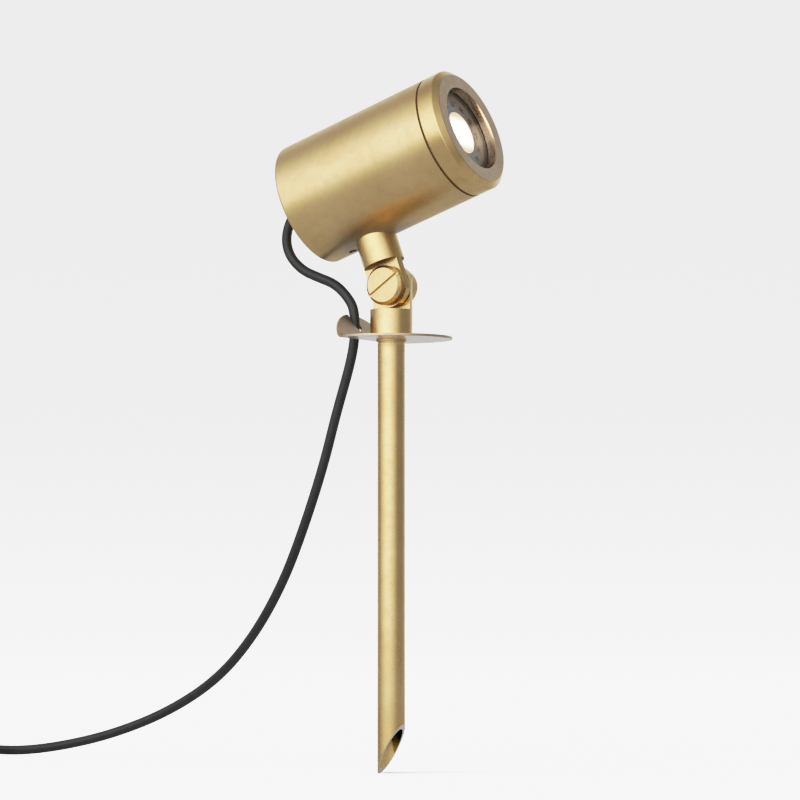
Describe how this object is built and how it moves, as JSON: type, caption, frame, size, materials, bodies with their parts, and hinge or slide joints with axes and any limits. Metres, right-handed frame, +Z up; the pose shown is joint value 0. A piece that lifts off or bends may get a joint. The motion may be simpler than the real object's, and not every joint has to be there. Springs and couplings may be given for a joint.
{
  "type": "garden spike spotlight",
  "caption": "Outdoor garden spotlight in aged brass on a ground spike: tilting cylindrical head, screwed glass bezel, ground disc with a cable slot and a black low-voltage cable.",
  "frame": {"origin": "centre of the ground disc's underside, on the spike's axis: the ground line when the spike is in", "axes": "+Z up along the spike, +X the way the head points, +Y to the left of that"},
  "size_m": [0.4235, 0.0951, 0.3299],
  "materials": {
    "aged_brass": "satin aged brass",
    "nylon": "dark nylon",
    "black_rubber": "matte",
    "clear_glass": "clear tempered",
    "steel": "stainless",
    "lamp_aluminium": "grey-bronze paint",
    "lamp_face": "grey-bronze paint",
    "lamp_lens": "frosted, lit warm white",
    "white_ceramic": "glazed ceramic",
    "white_plastic": "moulded",
    "core_insulation": "extruded",
    "gland_brass": "plain machined brass",
    "cable_sheath": "satin black",
    "tie_nylon": "black nylon",
    "tinned_copper": "tinned"
  },
  "bodies": {
    "base": {"spike_tube": "aged_brass", "spike_collar": "aged_brass", "flange_disc": "aged_brass", "lower_knuckle": "aged_brass", "friction_washer": "nylon", "pivot_nut": "aged_brass", "cable_lower": "cable_sheath", "cable_coil": "cable_sheath", "coil_tie": "tie_nylon", "cable_tail": "cable_sheath", "tail_cores": "core_insulation", "core_ferrules": "tinned_copper"},
    "clamp_screw": {"pivot_screw": "aged_brass", "screw_washer": "aged_brass"},
    "head": {"upper_knuckle": "aged_brass", "head_body": "aged_brass", "threaded_neck": "aged_brass", "bezel_o_ring": "black_rubber", "lamp_clip_ring": "steel", "lamp_housing": "lamp_aluminium", "lamp_front_plate": "lamp_face", "lamp_lens": "lamp_lens", "lamp_pins": "steel", "lampholder": "white_ceramic", "holder_screws": "steel", "holder_bracket": "steel", "bracket_screws": "steel", "terminal_block": "white_plastic", "terminal_screws": "steel", "holder_leads": "core_insulation", "inner_cores": "core_insulation", "saddle_washer": "steel", "boss_screw": "steel", "gland_body": "gland_brass", "gland_nut": "gland_brass", "gland_seal": "black_rubber", "gland_lock_nut": "gland_brass", "cable_entry": "cable_sheath", "cable_upper": "cable_sheath"},
    "lens_pack": {"lens_glass": "clear_glass", "lens_gasket": "black_rubber"},
    "bezel": {"bezel_ring": "aged_brass"}
  },
  "joints": [
    {"name": "head_tilt", "type": "hinge", "parent": "base", "child": "head", "pos_m": [0, 0, 0.0254], "axis": [0, -1, 0], "range_deg": [-30, 45], "deforming": ["cable_upper"]},
    {"name": "clamp_screw_turn", "type": "hinge", "parent": "base", "child": "clamp_screw", "pos_m": [0, 0, 0.0254], "axis": [0, -1, 0], "range_deg": [0, 180]},
    {"name": "bezel_travel", "type": "slide", "parent": "head", "child": "lens_pack", "axis": [0.9409, 0, 0.3387], "range_m": [0, 0.0045]},
    {"name": "bezel_turn", "type": "hinge", "parent": "lens_pack", "child": "bezel", "pos_m": [0.03641, 0, 0.09548], "axis": [0.9409, 0, 0.3387], "range_deg": [0, 1080]}
  ],
  "couplings": [
    {"joint": "bezel_travel", "follows": "bezel_turn", "m_per_rad": 0.00023873}
  ]
}
